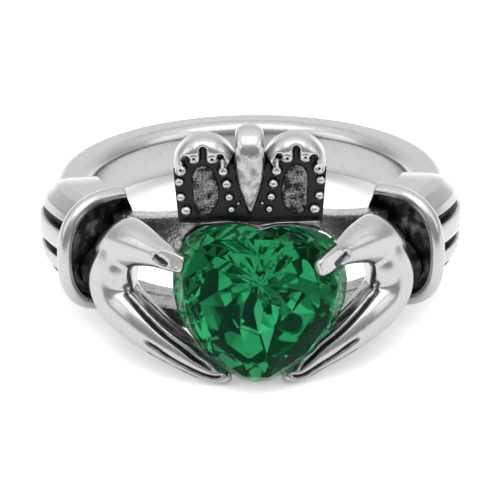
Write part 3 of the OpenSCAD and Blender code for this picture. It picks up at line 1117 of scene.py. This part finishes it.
@dataclass
class Crown:
    """The crown: a black plate with two domed lobes, arches with hanging drops, beads, ovals and a leaf."""

    # depth at which the plate's front lies, and the plate's thickness
    plate_y: float = -(FINGER_R + 3.5)
    thickness: float = 1.1
    # height of the lower edge, half its length and how far it rises from there to the widest point
    rail: float = 3.0
    rail_half: float = 4.12
    rise: float = 3.3
    # right lobe's middle and radius, and height of the saddle between the lobes
    lobe_x: float = 2.58
    lobe_z: float = 6.3
    lobe_r: float = 1.8
    saddle: float = 6.6
    # arch: its inner radius, its rounding and height
    arch_r: float = 1.22
    arch_soft: float = 0.3
    arch_height: float = 0.5
    # heights from the lobe's middle: above which the arch is filled across, and of its outer leg's end
    arch_fill: float = 0.62
    leg_end: float = -0.05
    # inner leg: height of its end and distance from the lobe's middle from which that rises, and how fast
    inner_end: float = -0.1
    inner_from: float = 1.1
    inner_rise: float = 0.9
    # slopes of the filled part's edge and of the inner leg's end
    fill_slope: float = 0.75
    inner_slope: float = 0.8
    # how wide and how deep the arch is rolled over the outline, and the height over which the roll comes in
    roll: float = 0.75
    roll_depth: float = 0.95
    roll_in: float = 0.3
    # share of the roll from which its side is clear of black
    roll_clear: float = 0.35
    # heights of the relief between which the plate's black goes out
    black_out: Pair = (0.05, 0.24)
    # right half: the arch's drops and notches, its torn inner edge with its rounding and height, and the
    # beads with their extra height. A row is a form's distance from the middle, its height, its half width
    # and half the length of its straight part
    drops: Array = field(default_factory=lambda: np.array([
        [3.17, 6.97, 0.44, 0], [2.13, 6.94, 0.43, 0], [3.92, 6.19, 0.38, 0]]))
    notches: Array = field(default_factory=lambda: np.array([
        [2.66, 7.0, 0.12, 0.42], [3.66, 6.82, 0.17, 0], [1.66, 6.95, 0.12, 0]]))
    tear: Array = field(default_factory=lambda: np.array([[1.52, 6.1, 0.35, 0], [1.55, 6.45, 0.2, 0.28]]))
    tear_soft: float = 0.28
    tear_height: float = 0.42
    beads: Array = field(default_factory=lambda: np.array([
        [4.02, 5.47, 0.3, 0], [3.95, 4.54, 0.3, 0], [3.66, 3.73, 0.33, 0], [1.33, 5.3, 0.33, 0],
        [1.2, 4.5, 0.28, 0], [1.08, 3.75, 0.24, 0], [0.68, 4.12, 0.14, 0]]))
    bead_extra: float = 0.06
    # pits in the drops: distance from the middle and height, then the relief that they need, their spread,
    # depth and the black painted into them as shade
    pits: Array = field(default_factory=lambda: np.array([[3.18, 6.94], [2.14, 6.9], [3.95, 6.24]]))
    pit_from: float = 0.1
    pit_spread: float = 0.005
    pit_depth: float = 0.16
    pit_shade: float = 0.9
    # rough oval: middle, half width and half height, how square it is, how far its middle line swings, its
    # rounding and height, and the distance over which it gets rough
    oval_x: float = 2.6
    oval_z: float = 4.93
    oval_size: Pair = (0.74, 1.5)
    oval_power: float = 2.4
    oval_swing: float = 0.08
    oval_soft: float = 0.35
    oval_height: float = 0.17
    oval_rough: float = 0.2
    # how far inside its edge the oval starts to be grey and to have gravel
    oval_in: Pair = (0.06, 0.1)
    # its grey, its gravel's height, and how much the gravel changes the grey
    oval_grey: float = 0.42
    gravel: float = 0.05
    gravel_grey: float = 4.0
    # leaf from its point to its top: height, half width, half depth
    leaf: Array = field(default_factory=lambda: np.array([
        [3.45, 0.06, 0.1], [4.04, 0.3, 0.3], [5.0, 0.62, 0.45], [5.9, 0.82, 0.56], [6.8, 0.89, 0.64],
        [7.3, 0.87, 0.62], [7.7, 0.84, 0.5], [8.0, 0.84, 0.28], [8.25, 0.84, -0.05], [8.42, 0.84, -0.42],
        [8.52, 0.84, -0.8]]))
    # leaf's top in the outline: its half width, where it starts and ends, and how round it is
    leaf_half: float = 0.82
    leaf_z: float = 7.9
    leaf_top: float = 8.5
    leaf_round: float = 0.8
    # how flat the leaf is across, depth of its edges at the top, the heights over which that comes in, and
    # how far under its start in the outline the top hides the plate
    leaf_power: float = 2.6
    top_edge: float = 0.62
    top_in: Pair = (7.0, 7.6)
    top_under: float = 0.25
    # how rough and grey the lower leaf is, the relief over which that comes in and the heights over which it
    # goes out
    leaf_rough: float = 0.2
    leaf_grey: float = 0.24
    dull_in: Pair = (0.1, 0.25)
    dull_out: Pair = (7.0, 7.5)
    # points across and up the front, share of the width that they cover, and height of the back's middle
    across: int = 300
    upward: int = 170
    covered: float = 0.9999
    back_z: float = 4.5

    def top(self, x: Array) -> Array:
        """The outline's upper edge: the highest of the lobes' circles, the leaf and the saddle between.

        Args:
            x: distances right of the middle.

        Returns:
            The height above each.
        """
        s = np.abs(x)
        lobe = self.lobe_z + np.sqrt(np.maximum(0, self.lobe_r ** 2 - (s - self.lobe_x) ** 2))
        cap = np.sqrt(np.clip(1 - (s / self.leaf_half) ** 2, 0, None)) ** self.leaf_round
        leaf = np.where(s < self.leaf_half, self.leaf_z + (self.leaf_top - self.leaf_z) * cap, 0)
        return np.maximum(np.maximum(lobe, leaf), np.where(s < self.lobe_x, self.saddle, 0))

    def foot(self, x: Array) -> Array:
        """The outline's lower edge: the rail, rising where the crown widens above it."""
        wide = self.lobe_x + self.lobe_r
        return self.rail + self.rise * np.clip((np.abs(x) - self.rail_half) / (wide - self.rail_half), 0, 1)

    def arch(self, s: Array, z: Array) -> tuple[Array, Array, Array]:
        """One lobe's arch: a ring round the lobe's middle above it, with two legs and hanging drops.

        Args:
            s: distances from the middle.
            z: heights.

        Returns:
            Distance inside the bare arch's edge, the same with its drops and notches, and how far in from the
            outline a point is, as a share of the roll.
        """
        px, pz = s - self.lobe_x, z - self.lobe_z
        span = np.where(pz > 0, np.hypot(px, pz), np.abs(px))
        bare = np.maximum(span - self.arch_r, (pz - self.arch_fill) * self.fill_slope)
        under = -np.hypot(np.maximum(0, self.arch_r - span), pz - self.leg_end)
        bare = np.where(pz > self.leg_end, bare, under)
        end = self.inner_end + self.inner_rise * np.clip(-px - self.inner_from, 0, 1)
        bare = np.where(px > 0, bare, np.minimum(bare, (pz - end) * self.inner_slope))
        drops = [slotted(s, z, row) for row in self.drops]
        notches = [slotted(s, z, row) for row in self.notches]
        solid = np.minimum(np.maximum.reduce([bare, *drops]), -np.maximum.reduce(notches))
        return bare, solid, np.clip((self.lobe_r - span) / self.roll, 0, 1)

    def oval(self, s: Array, z: Array) -> tuple[Array, Array]:
        """The rough oval: 1 less the sum of both distances' powers, and waves of waves for its gravel.

        Args:
            s: distances from the middle.
            z: heights.

        Returns:
            How far inside its edge a point is, and the gravel's height there.
        """
        bent = s - self.oval_x + self.oval_swing * np.sin(2.2 * (z - 4))
        wide, high = self.oval_size
        power = self.oval_power
        oval = 1 - (np.abs(bent / wide) ** power + np.abs((z - self.oval_z) / high) ** power)
        gravel = self.gravel * np.sin(17 * s + 3 * np.sin(9 * z)) * np.sin(19 * z + 2 * np.sin(13 * s))
        return oval, gravel

    def blade(self, x: Array, z: Array) -> Array:
        """The leaf's height: its depth in the middle, less what its rounding takes off towards its edges.

        Args:
            x: distances right of the middle.
            z: heights.

        Returns:
            The height at each point, 0 below the leaf.
        """
        height, half, deep = spline(self.leaf, 200).T
        half = np.interp(z, height, half, left=0.01)
        deep = np.interp(z, height, deep, left=0)
        across = np.clip(1 - np.abs(x / half) ** self.leaf_power, 0, 1) ** 0.5
        fallen = np.maximum(deep, self.top_edge * fade(z, *self.top_in)) * (1 - across)
        return np.where(z > self.leaf[0, 0], deep - fallen, 0)

    def relief(self, x: Array, z: Array) -> tuple[Array, Array, Array]:
        """What stands proud of the plate at each point: the highest of the domes over each form.

        The arches fall away by a quarter round to the outline, so that they look rolled over its edge.

        Args:
            x: distances right of the middle.
            z: heights.

        Returns:
            The relief, how black it is and how rough.
        """
        s = np.abs(x)
        bare, solid, roll = self.arch(s, z)
        pits = sum(np.exp(-((s - at) ** 2 + (z - up) ** 2) / self.pit_spread) for at, up in self.pits)
        proud = dome(solid, self.arch_soft, self.arch_height)
        proud = proud - self.pit_depth * pits * (proud > self.pit_from)
        tear = np.maximum.reduce([slotted(s, z, row) for row in self.tear])
        proud = np.maximum(proud, dome(tear, self.tear_soft, self.tear_height))
        for bead in self.beads:
            proud = np.maximum(proud, dome(slotted(s, z, bead), bead[2], bead[2] + self.bead_extra))
        oval, gravel = self.oval(s, z)
        grey_in, gravel_in = self.oval_in
        proud = np.maximum(proud, dome(oval, self.oval_soft, self.oval_height) + gravel * (oval > gravel_in))
        blade = self.blade(x, z)
        cap = (s < self.leaf_half) & (z > self.leaf_z - self.top_under)
        proud = np.where(cap, blade, np.maximum(proud, blade))
        black = np.where(cap, 0, 1 - fade(proud, *self.black_out))
        grey = self.oval_grey - self.gravel_grey * gravel
        black = np.where((oval > grey_in) & (blade < self.dull_in[0]), grey, black)
        # painted shade in the pits of the drops
        black = np.maximum(black, np.clip(pits, 0, 1) * self.pit_shade * (solid > 0))
        raised = z - self.lobe_z + self.roll_in * (s > self.lobe_x)
        arched = fade(raised, 0.0, self.roll_in) * (blade < self.black_out[0]) * ~cap
        proud = proud - self.roll_depth * (1 - np.sqrt(1 - (1 - roll) ** 2)) * arched
        black = black * (1 - fade(roll, 1, self.roll_clear) * arched * (bare > 0))
        dulled = fade(blade, *self.dull_in) * (1 - fade(z, *self.dull_out))
        black = np.maximum(black, self.leaf_grey * dulled)
        rough = np.maximum(fade(oval, 0.0, self.oval_rough), self.leaf_rough * dulled)
        return proud, np.clip(black, 0, 1), rough

    def plate(self) -> Patch:
        """The crown's front, a height over a grid between its two edges, closed by its rim and its back.

        Returns:
            The crown as a closed solid.
        """
        wide = self.lobe_x + self.lobe_r
        m, n = self.across, self.upward
        x = wide * np.sin(np.linspace(-np.pi / 2, np.pi / 2, m))[:, None] * self.covered
        low, high = self.foot(x), self.top(x)
        z = low + (high - low) * np.linspace(0, 1, n)[None]
        x = x + 0 * z
        proud, black, rough = self.relief(x, z)
        front = np.stack([x, self.plate_y - proud, z], -1).reshape(-1, 3)
        edge = np.concatenate([np.arange(m) * n, (m - 1) * n + np.arange(1, n),
                               np.arange(m - 1)[::-1] * n + n - 1, np.arange(1, n - 1)[::-1]])
        back_y = self.plate_y + self.thickness
        back = front[edge] * [1, 0, 1] + [0, back_y, 0]
        count, base = len(edge), m * n
        j = np.arange(count)
        k = (j + 1) % count
        rim = np.stack([edge[j], edge[k], base + k, base + j], 1)
        fan = np.stack([np.full(count, base + count), base + j, base + k], 1)
        verts = np.concatenate([front, back, [[0, back_y, self.back_z]]])
        masks = [np.r_[mask.ravel(), np.zeros(count + 1)] for mask in (black, rough)]
        return patch(verts, np.concatenate([grid_quads(m, n, round_n=False), rim]), fan, *masks)

    def build(self, shop: Workshop) -> None:
        """Puts the crown above the stone."""
        shop.piece("crown", self.plate(), "ring_casting", crease=60)


@dataclass
class HeartStone:
    """The heart-cut stone: a table, kites and half facets down to the girdle, and long mains behind it."""

    # width and height of the outline, heights of the facets before and behind the girdle, the girdle's own,
    # number of the table's corners, and the table's share of the outline
    width: float = 10.0
    height: float = 9.7
    crown: float = 1.4
    pavilion: float = 4.0
    girdle: float = 0.25
    mains: int = 14
    table_share: float = 0.7
    # kites' lower corners: share of the outline, and share of the crown's height above the girdle
    kites: Pair = (0.89, 0.77)
    # pavilion tiers: share of the outline, and whether their corners lie between those of the table
    tiers: tuple[tuple[float, int], ...] = ((0.74, 1), (0.48, 0), (0.24, 1), (0.1, 0))
    # how much the pavilion bulges, and how unevenly its corners were cut
    bulge: float = 0.93
    wobble: float = 0.1
    zigzag: float = 0.05
    # how fast each of a corner's three errors changes round a tier, and from tier to tier
    round_tier: Point = (2.3, 3.7, 2.9)
    by_tier: Point = (1.7, 2.1, 0.6)
    # turn about its axis in degrees, height of that axis above its point as a share of the height, and place
    turn: float = 3.0
    axis: float = 0.58
    middle: Point = (0.45, -(FINGER_R + 4.3), -6.6 + axis * height)
    # right half of the outline from the cleft to the point: share of the half width, share of the height
    half: Array = field(default_factory=lambda: np.array([
        [0, 0.969], [0.25, 1], [0.54, 0.988], [0.77, 0.945], [0.92, 0.85], [1, 0.68], [0.975, 0.52],
        [0.86, 0.366], [0.6, 0.18], [0.25, 0.035], [0, 0]]))

    def outline(self, share: float, corners: int) -> Array:
        """The heart seen from the front, clockwise from its cleft.

        Args:
            share: its size about its axis, as a share of the stone's.
            corners: how many corners it has.

        Returns:
            Its points (corners, 2), rightwards and up from the axis.
        """
        spans = len(self.half) - 1
        right = spline(self.half, spans * (corners // 2) + 1)[::spans]
        whole = np.concatenate([right, (right * [-1, 1])[-2:0:-1]])
        return (whole - [0, self.axis]) * [self.width / 2, self.height] * share

    def level(self, share: float, y: float, corners: int) -> Array:
        """An outline in the ring's frame.

        Args:
            share: its size as a share of the stone's.
            y: how far it lies behind the girdle's middle.
            corners: how many corners it has.

        Returns:
            Its points, turned with the stone: (x cos t + z sin t, y, z cos t - x sin t).
        """
        x, z = self.outline(share, corners).T
        c, s = math.cos(math.radians(self.turn)), math.sin(math.radians(self.turn))
        return np.stack([x * c + z * s, np.full(len(x), y), z * c - x * s], 1) + self.middle

    def gem(self) -> Patch:
        """The faceted stone, tier by tier from the table to the point.

        Odd tiers have their corners between those of even ones, so that every facet is a kite cut in two.
        Behind the girdle each corner is a little off its place, by a sine of its number and its tier's.

        Returns:
            The stone.
        """
        n, corners, edge = self.mains, 2 * self.mains, self.girdle / 2
        kite_share, kite_height = self.kites
        tiers = [(self.table_share, -edge - self.crown, 0), (kite_share, -edge - kite_height * self.crown, 1)]
        tiers += [(share, edge + self.pavilion * (1 - share) ** self.bulge, odd) for share, odd in self.tiers]
        turn = np.arange(n)[:, None]
        rings = []
        for tier, (share, y, odd) in enumerate(tiers):
            off = np.sin(turn * self.round_tier + tier * np.array(self.by_tier)) * self.wobble
            off = off + np.cos(np.pi * turn) * [0, self.zigzag, 0]
            rings.append(self.level(share, y, corners)[odd::2] + off * (tier > 1))
        front, back = self.level(1, -edge, corners), self.level(1, edge, corners)
        culet = np.array([self.middle]) + [0, edge + self.pavilion, 0]
        verts = np.concatenate([*rings, front, back, culet, rings[0].mean(0)[None]])
        i = np.arange(n)
        j = (i + 1) % n
        t, k, a, b, c, d = (tier * n for tier in range(6))
        f0, b0 = 6 * n, 8 * n
        tip, face = 10 * n + 0 * i, 10 * n + 1 + 0 * i
        e, o, w = 2 * i, 2 * i + 1, 2 * j
        rows = [(t + j, t + i, face), (t + i, t + j, k + i), (t + j, k + j, k + i), (k + i, k + j, f0 + w),
                (k + i, f0 + o, f0 + e), (k + i, f0 + w, f0 + o),
                (a + i, b0 + e, b0 + o), (a + i, b0 + o, b0 + w), (a + i, b0 + w, a + j),
                (b + j, a + i, a + j), (a + i, b + j, b + i), (b + i, b + j, c + i), (b + j, c + j, c + i),
                (d + j, c + i, c + j), (c + i, d + j, d + i), (d + i, d + j, tip)]
        walls = [(f0 + e, b0 + e, b0 + o, f0 + o), (f0 + o, b0 + o, b0 + w, f0 + w)]
        quads, tris = (np.concatenate([np.stack(row, 1) for row in faces]) for faces in (walls, rows))
        return patch(verts, quads, tris)

    def build(self, shop: Workshop) -> None:
        """Puts the stone in its seat."""
        shop.piece("stone", self.gem(), "heart_stone", smooth=False)


@dataclass
class Gallery:
    """The curved wall behind the stone with a window on each side, the basket on it and the crown's block."""

    stone: HeartStone
    # wall: its thickness, its foot and its half angle in degrees, then distances from the middle between
    # which its top comes down, and the top's heights there
    thickness: float = 1.2
    low: float = -3.8
    half_angle: float = 50.0
    slope_x: Pair = (4.0, 9.0)
    slope_z: Pair = (2.3, 1.1)
    # bar under the windows: its half angle, foot, top and reach
    sill_angle: float = 46.0
    sill_z: Pair = (-4.15, -2.9)
    sill_reach: float = 2.6
    # how far wall and bar start inside the finger hole, before that is cut
    buried: float = 0.5
    # basket and seat: share of the stone's outline, and how far behind its girdle's middle
    basket_levels: tuple[Pair, ...] = ((0.97, 0.4), (0.93, 1.4), (0.8, 3.0), (0.72, 3.9))
    seat_levels: tuple[Pair, ...] = ((0.5, 4.3), (0.68, 3.0), (0.86, 1.4), (1, 0.25), (1, -0.16))
    # how far ahead of the girdle's middle the seat opens, at the table's share of the outline
    seat_front: float = 1.62
    # the basket's opening at the back, and the air round the stone
    back_levels: tuple[Pair, ...] = ((0.22, 0.6), (0.22, 6.0))
    air: float = 0.03
    # depths between which the windows are cut and heights between which the finger hole is
    pane_y: Pair = (-12.5, -5.0)
    hole_z: Pair = (-8.0, 8.0)
    # corners round the basket and round what is cut out of it, steps round the finger hole, sections along
    # the wall and the bar, and points round the block and their rounding
    basket_corners: int = 120
    seat_corners: int = 56
    hole_steps: int = 180
    wall_sections: int = 120
    sill_sections: int = 90
    block_points: int = 160
    block_soft: float = 0.08
    # cells of the fused skin, rounds of evening it out, how rough it is and the distances from the finger
    # hole over which that comes in
    voxel: float = 0.08
    rounds: int = 5
    cast: float = 0.4
    cast_in: Pair = (0.02, 0.15)
    # black of the upper wall and of the basket's front, the heights and the depths over which they come in,
    # and the width and height within which both stay
    wall_black: float = 0.05
    wall_black_in: Pair = (0.5, 1.2)
    front_black: float = 0.35
    front_black_in: Pair = (9.6, 11.4)
    black_half: float = 5.2
    black_above: Pair = (0.3, 1.0)
    # window in the right half, seen from the front, and the block seen from the front
    window: Array = field(default_factory=lambda: np.array([
        [7.2, -2.8], [7, -0.5], [6.2, -0.1], [3.4, -0.1], [2.9, -0.6], [2.9, -2.4], [3.4, -2.8], [5, -2.8]]))
    block: Array = field(default_factory=lambda: np.array([
        [-4.0, 1.7], [-4.0, 3.15], [-1.4, 3.1], [0.2, 2.9], [1.6, 3.1], [4.0, 3.15], [4.0, 1.7]]))
    # reach of the block's front, a little proud of the crown's plate, and of its back
    block_reach: Pair = (4.05, 0.35)

    def wall(self) -> Patch:
        """The curved wall: a rectangle carried round the finger, its top sloping down beyond the block.

        Returns:
            The wall as a closed solid.
        """
        angle = np.radians(np.linspace(-self.half_angle, self.half_angle, self.wall_sections))[:, None]
        wide = np.abs((FINGER_R + self.thickness / 2) * np.sin(angle))
        top = np.interp(wide, self.slope_x, self.slope_z)
        r = np.array([0, 0, 1, 1])[None] * (self.thickness + self.buried) + FINGER_R - self.buried
        up = np.array([0, 1, 1, 0])[None]
        return skin(around(r, angle, self.low + (top - self.low) * up))

    def sill(self) -> Patch:
        """The thicker bar under the windows: a square section carried round the finger.

        Returns:
            The bar as a closed solid.
        """
        angle = np.radians(np.linspace(-self.sill_angle, self.sill_angle, self.sill_sections))[:, None]
        r = FINGER_R + np.array([-self.buried, -self.buried, self.sill_reach, self.sill_reach])[None]
        foot, top = self.sill_z
        return skin(around(r, angle, np.array([foot, top, top, foot])[None]))

    def levels(self, rows: tuple[Pair, ...], corners: int, grow: float = 1.0) -> Patch:
        """A solid through outlines of the stone.

        Args:
            rows: each outline's share of the stone's and how far it lies behind the girdle's middle.
            corners: how many corners an outline has.
            grow: what all shares are multiplied by.

        Returns:
            The solid.
        """
        return skin(np.stack([self.stone.level(share * grow, y, corners) for share, y in rows]))

    def cutters(self) -> Patch:
        """What is taken away: the finger hole, the windows, the stone's seat with its air, and the back.

        Returns:
            All of it as one mesh.
        """
        a = np.linspace(0, 2 * np.pi, self.hole_steps, endpoint=False)
        hole = skin(np.stack([np.stack([FINGER_R * np.cos(a), FINGER_R * np.sin(a), z + 0 * a], 1)
                              for z in self.hole_z]))
        panes = [extruded(self.window * [s, 1], *self.pane_y) for s in (1, -1)]
        rows = (*self.seat_levels, (self.stone.table_share, -self.seat_front))
        seat = self.levels(rows, self.seat_corners, 1 + 2 * self.air / self.stone.width)
        return joined([hole, *panes, seat, self.levels(self.back_levels, self.seat_corners)])

    def build(self, shop: Workshop) -> None:
        """Fuses wall, bar, basket and block, cuts the openings and leaves the skin as rough as cast.

        Args:
            shop: where the piece is made.
        """
        basket = self.levels(self.basket_levels, self.basket_corners)
        front, back = (-(FINGER_R + reach) for reach in self.block_reach)
        block = extruded(softened(self.block, self.block_points, self.block_soft), front, back)
        solids = joined([self.wall(), self.sill(), basket, block])
        shape, _ = fused(solids, self.voxel, self.rounds, self.cutters())
        x, y, z = shape.verts.T
        shape.cast = self.cast * fade(np.hypot(x, y) - FINGER_R, *self.cast_in)
        upper, front = fade(z, *self.wall_black_in), fade(-y, *self.front_black_in)
        within = fade(self.black_half - np.abs(x), 0, 1) * fade(z, *self.black_above)
        shape.oxide_and_shade = (self.wall_black * upper + self.front_black * front) * within
        shop.piece("gallery", shape, "ring_casting")


# The studio


@dataclass
class Studio:
    """A pale sheet, soft lights and the camera."""

    pose: Pose
    # camera: height over the ring and roll in degrees, distance, pixels to a millimetre, and the point of the
    # picture on which the middle of the ring's own frame falls
    elevation: float = 19.3
    roll: float = 0.8
    distance: float = 220.0
    scale: float = 16.4
    aim: Pair = (250.2, 196.0)
    # side of the picture in pixels, width of the camera's sensor, and how near and far it sees in metres
    picture: int = 500
    sensor: float = 36.0
    sight: Pair = (0.01, 10.0)
    daylight: float = 1.7
    # room from the horizon up: height of the direction, shade as a share of the brightest
    sky: tuple[Pair, ...] = ((0.0, 0.44), (0.3, 0.47), (0.5, 0.6), (0.75, 0.9), (1.0, 1.0))
    # share of the way straight back at which the room starts to brighten and at which it is brightest, and
    # how bright
    behind: Pair = (0.25, 0.85)
    brightest: float = 0.72
    # share of the way straight forward at which the room starts to darken and at which it is darkest, and
    # what is left
    ahead: Pair = (-0.15, -0.6)
    darkest: float = 0.6
    # lamps: name, place and size in metres, power
    lamps: tuple = (("top", (0.0, -0.1, 0.45), (0.5, 0.4), 0.8),
                    ("left", (-0.4, -0.1, 0.22), (0.3, 0.3), 0.3),
                    ("right", (0.4, -0.15, 0.25), (0.3, 0.3), 0.3))
    # height at which the lamps point, and half the sheet's side, in metres
    lit_height: float = 0.006
    sheet_half: float = 2.0

    def camera(self) -> None:
        """Places the camera so that the middle of the ring's own frame falls on the point aim."""
        e, r = math.radians(self.elevation), math.radians(self.roll)
        ahead = np.array([0, math.cos(e), -math.sin(e)])
        right, up = np.array([1.0, 0, 0]), np.array([0, math.sin(e), math.cos(e)])
        x_axis = right * math.cos(r) - up * math.sin(r)
        y_axis = right * math.sin(r) + up * math.cos(r)
        pixels, half = self.scale * self.distance, self.picture / 2
        look = ahead * pixels + x_axis * (half - self.aim[0]) - y_axis * (half - self.aim[1])
        look /= np.linalg.norm(look)
        x_axis -= look * (x_axis @ look)
        x_axis /= np.linalg.norm(x_axis)
        turned = np.stack([x_axis, np.cross(-look, x_axis), -look]) @ self.pose.turn().T
        place = self.pose.place((-ahead * self.distance)[None])[0]
        data = bpy.data.cameras.new("camera")
        data.sensor_width, data.lens = self.sensor, pixels / self.picture * self.sensor
        data.clip_start, data.clip_end = self.sight
        camera = placed("camera", data)
        camera.matrix_world = Matrix.Translation(Vector(place)) @ Matrix(turned.T.tolist()).to_4x4()
        bpy.context.scene.camera = camera

    def lamp(self, name: str, place: Point, size: Pair, power: float) -> None:
        """Hangs a soft box that faces the ring.

        Args:
            name: the lamp's name.
            place: its place in metres.
            size: its width and height in metres.
            power: its power in watts.
        """
        data = bpy.data.lights.new(name, "AREA")
        data.shape, data.size, data.size_y, data.energy = "RECTANGLE", *size, power
        lamp = placed(name, data)
        lamp.location = place
        way = Vector((0, 0, self.lit_height)) - Vector(place)
        lamp.rotation_euler = way.to_track_quat("-Z", "Y").to_euler()

    def sheet(self) -> None:
        """Lays the pale sheet under the ring."""
        h = self.sheet_half
        mesh = bpy.data.meshes.new("sheet")
        mesh.from_pydata([(-h, -h, 0), (h, -h, 0), (h, h, 0), (-h, h, 0)], [], [(0, 1, 2, 3)])
        mesh.materials.append(Paper().material())
        sheet = placed("sheet", mesh)

    def room(self) -> None:
        """Builds an even grey room, paler above and behind, darker at the height of the ring and in front.

        Its shade is the greater of two: the sky's times what is left in front, and the brightness behind.
        """
        world = bpy.data.worlds.new("room")
        world.use_nodes = True
        bpy.context.scene.world = world
        bench = Bench(world.node_tree)
        direction = bench.add("TexCoord", {}).outputs["Generated"]
        split = bench.add("SeparateXYZ", {0: direction}).outputs
        sky = bench.ramp(split["Z"], [(height, tint((shade,) * 3)) for height, shade in self.sky])
        left = bench.ranged(split["Y"], self.ahead, (1.0, self.darkest))
        behind = bench.ranged(split["Y"], self.behind, (0.0, self.brightest))
        shade = bench.maths("MAXIMUM", bench.maths("MULTIPLY", sky, left), behind)
        bench.feed(world.node_tree.nodes["Background"], {"Color": shade, "Strength": self.daylight})

    def build(self) -> None:
        """Sets up camera, sheet, room and lights."""
        self.camera()
        self.sheet()
        self.room()
        for lamp in self.lamps:
            self.lamp(*lamp)
        bpy.context.scene.view_settings.view_transform = "Standard"


def main() -> None:
    """Builds the ring piece by piece and lights it."""
    logging.basicConfig(level=logging.INFO, format="%(message)s")
    cuff = Cuff()
    pose = Pose.of_bore(frame["record"], cuff.height)
    shop = Workshop(pose, Steel().material(), GreenStone().material())
    Band().build(shop)
    hand = Hand(cuff)
    left = hand.left()
    for side in Side:
        Shoulder().build(shop, side)
        cuff.build(shop, side)
        hand.build(shop, side, left)
    stone = HeartStone()
    stone.build(shop)
    Gallery(stone).build(shop)
    Crown().build(shop)
    Studio(pose).build()


if __name__ == "__main__":
    main()
